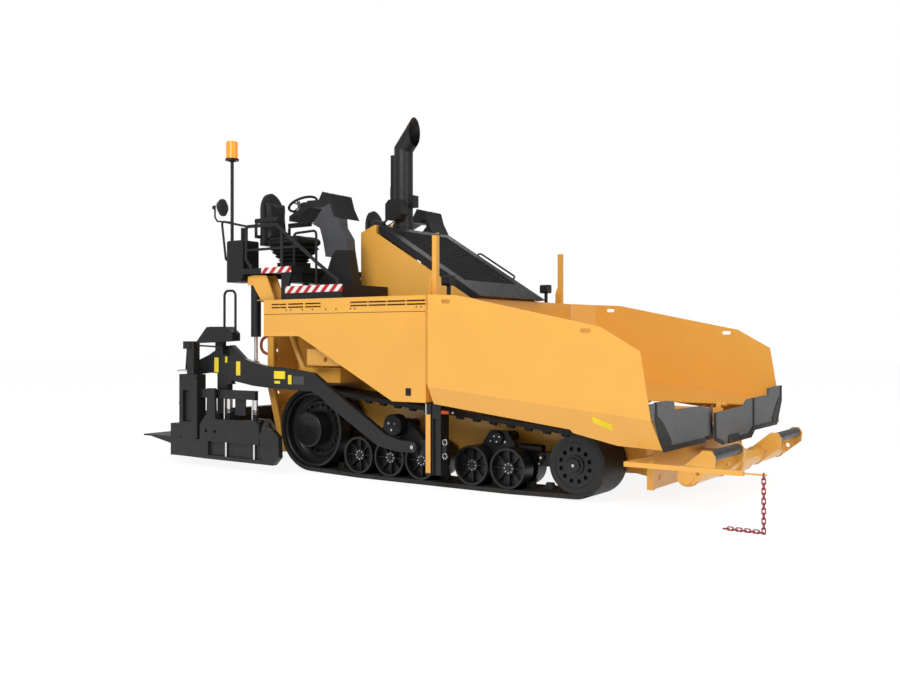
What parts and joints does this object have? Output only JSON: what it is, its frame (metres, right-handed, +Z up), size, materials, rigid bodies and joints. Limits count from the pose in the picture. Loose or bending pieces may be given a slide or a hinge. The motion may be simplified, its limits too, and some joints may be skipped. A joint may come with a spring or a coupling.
{
  "type": "asphalt paver",
  "caption": "Tracked asphalt paver with a folding hopper, conveyors, augers, an operator's platform and a floating screed on tow arms.",
  "frame": {"origin": "on the ground, in the middle of the overall length and width", "axes": "+X forward towards the hopper, +Y to the machine's left, +Z up"},
  "size_m": [7.61, 3.5, 4.0942],
  "materials": {
    "yellow_paint": "gloss",
    "black_paint": "satin",
    "charcoal_paint": "satin",
    "track_rubber": "matte",
    "grey_rubber": "matte",
    "wheel_paint": "satin",
    "chrome": "polished",
    "red_paint": "satin",
    "hazard": "gloss",
    "grey_plastic": "textured",
    "black_plastic": "textured",
    "seat_cover": "grained",
    "bellows_rubber": "matte",
    "amber_lens": "clear",
    "cast_iron": "bare",
    "steel": "worn",
    "guide_orange": "matte"
  },
  "bodies": {
    "tractor": {"auger_beam": "charcoal_paint", "beacon": "amber_lens", "beacon_mast": "black_paint", "bogie_beams": "black_paint", "bogie_wheels": "wheel_paint", "console_panels": "black_plastic", "console_towers": "grey_plastic", "conveyor_slats": "steel", "deck": "black_paint", "drive_wheels": "wheel_paint", "engine_block": "cast_iron", "exhaust_stack": "charcoal_paint", "front_lip": "grey_rubber", "guide_chain": "red_paint", "handrails": "black_paint", "hazard_boards": "hazard", "hood_cowl": "yellow_paint", "hopper_bulkhead": "yellow_paint", "hopper_posts": "yellow_paint", "idler_wheels": "wheel_paint", "lift_brackets": "yellow_paint", "main_frame": "yellow_paint", "platform": "black_paint", "rear_cabinets": "black_plastic", "rear_hose": "guide_orange", "seat_backs": "seat_cover", "seat_bellows": "bellows_rubber", "seat_cushions": "seat_cover", "side_panels": "yellow_paint", "steering_guide": "yellow_paint", "steering_wheels": "black_plastic", "tow_towers": "charcoal_paint", "track_belts": "track_rubber", "work_lamps": "black_plastic"},
    "right_wing": {"right_wing": "yellow_paint", "right_flap": "grey_rubber"},
    "left_wing": {"left_wing": "yellow_paint", "left_flap": "grey_rubber"},
    "push_bar": {"push_bar": "yellow_paint"},
    "right_roller": {"right_push_roller": "wheel_paint"},
    "left_roller": {"left_push_roller": "wheel_paint"},
    "hood_lid": {"hood_lid": "black_paint", "hood_grille": "black_paint"},
    "screed": {"tow_arms": "charcoal_paint", "screed_frame": "charcoal_paint", "screed_consoles": "black_plastic"},
    "right_extension": {"right_extension": "charcoal_paint"},
    "left_extension": {"left_extension": "charcoal_paint"},
    "right_walkway": {"right_walkway": "charcoal_paint"},
    "left_walkway": {"left_walkway": "charcoal_paint"},
    "right_lift_barrel": {"right_lift_barrel": "charcoal_paint"},
    "left_lift_barrel": {"left_lift_barrel": "charcoal_paint"},
    "right_lift_rod": {"right_lift_rod": "chrome"},
    "left_lift_rod": {"left_lift_rod": "chrome"},
    "right_auger": {"right_auger": "steel"},
    "left_auger": {"left_auger": "steel"}
  },
  "joints": [
    {"name": "right_wing_fold", "type": "hinge", "parent": "tractor", "child": "right_wing", "pos_m": [1.7, -0.74, 0.805], "axis": [-1, 0, 0], "range_deg": [0, 35]},
    {"name": "left_wing_fold", "type": "hinge", "parent": "tractor", "child": "left_wing", "pos_m": [1.7, 0.74, 0.805], "axis": [1, 0, 0], "range_deg": [0, 35]},
    {"name": "push_bar_swing", "type": "hinge", "parent": "tractor", "child": "push_bar", "pos_m": [2.85, 0, 0.326], "axis": [0, 0, 1], "range_deg": [-6, 6]},
    {"name": "right_roller_spin", "type": "hinge", "parent": "push_bar", "child": "right_roller", "pos_m": [3.2045, -0.9275, 0.503], "axis": [0, 1, 0], "continuous": true},
    {"name": "left_roller_spin", "type": "hinge", "parent": "push_bar", "child": "left_roller", "pos_m": [3.2045, 0.9275, 0.503], "axis": [0, 1, 0], "continuous": true},
    {"name": "hood_lift", "type": "hinge", "parent": "tractor", "child": "hood_lid", "pos_m": [-0.8, 0, 2.753], "axis": [0, -1, 0], "range_deg": [0, 60]},
    {"name": "screed_lift", "type": "hinge", "parent": "tractor", "child": "screed", "pos_m": [0.2585, 0, 0.407], "axis": [0, 1, 0], "range_deg": [-1.6, 6]},
    {"name": "right_lift_swing", "type": "hinge", "parent": "tractor", "child": "right_lift_barrel", "pos_m": [-2.077, -1.35, 2.13], "axis": [0, -1, 0], "range_deg": [-2, 7]},
    {"name": "right_lift_stroke", "type": "slide", "parent": "right_lift_barrel", "child": "right_lift_rod", "axis": [0, 0, 1], "range_m": [-0.07, 0.25]},
    {"name": "left_lift_swing", "type": "hinge", "parent": "tractor", "child": "left_lift_barrel", "pos_m": [-2.077, 1.35, 2.13], "axis": [0, -1, 0], "range_deg": [-2, 7]},
    {"name": "left_lift_stroke", "type": "slide", "parent": "left_lift_barrel", "child": "left_lift_rod", "axis": [0, 0, 1], "range_m": [-0.07, 0.25]},
    {"name": "right_extend", "type": "slide", "parent": "screed", "child": "right_extension", "axis": [0, -1, 0], "range_m": [0, 1.2]},
    {"name": "left_extend", "type": "slide", "parent": "screed", "child": "left_extension", "axis": [0, 1, 0], "range_m": [0, 1.2]},
    {"name": "right_walkway_fold", "type": "hinge", "parent": "right_extension", "child": "right_walkway", "pos_m": [-3.282, -1.1, 0.345], "axis": [0, 1, 0], "range_deg": [0, 88]},
    {"name": "left_walkway_fold", "type": "hinge", "parent": "left_extension", "child": "left_walkway", "pos_m": [-3.282, 1.1, 0.345], "axis": [0, 1, 0], "range_deg": [0, 88]},
    {"name": "right_auger_spin", "type": "hinge", "parent": "tractor", "child": "right_auger", "pos_m": [-2.307, -0.75, 0.35], "axis": [0, 1, 0], "continuous": true},
    {"name": "left_auger_spin", "type": "hinge", "parent": "tractor", "child": "left_auger", "pos_m": [-2.307, 0.75, 0.35], "axis": [0, 1, 0], "continuous": true}
  ],
  "couplings": [
    {"joint": "right_lift_swing", "follows": "screed_lift", "ratio": 1.1},
    {"joint": "right_lift_stroke", "follows": "screed_lift", "m_per_rad": 2.26},
    {"joint": "left_lift_swing", "follows": "screed_lift", "ratio": 1.1},
    {"joint": "left_lift_stroke", "follows": "screed_lift", "m_per_rad": 2.26}
  ]
}
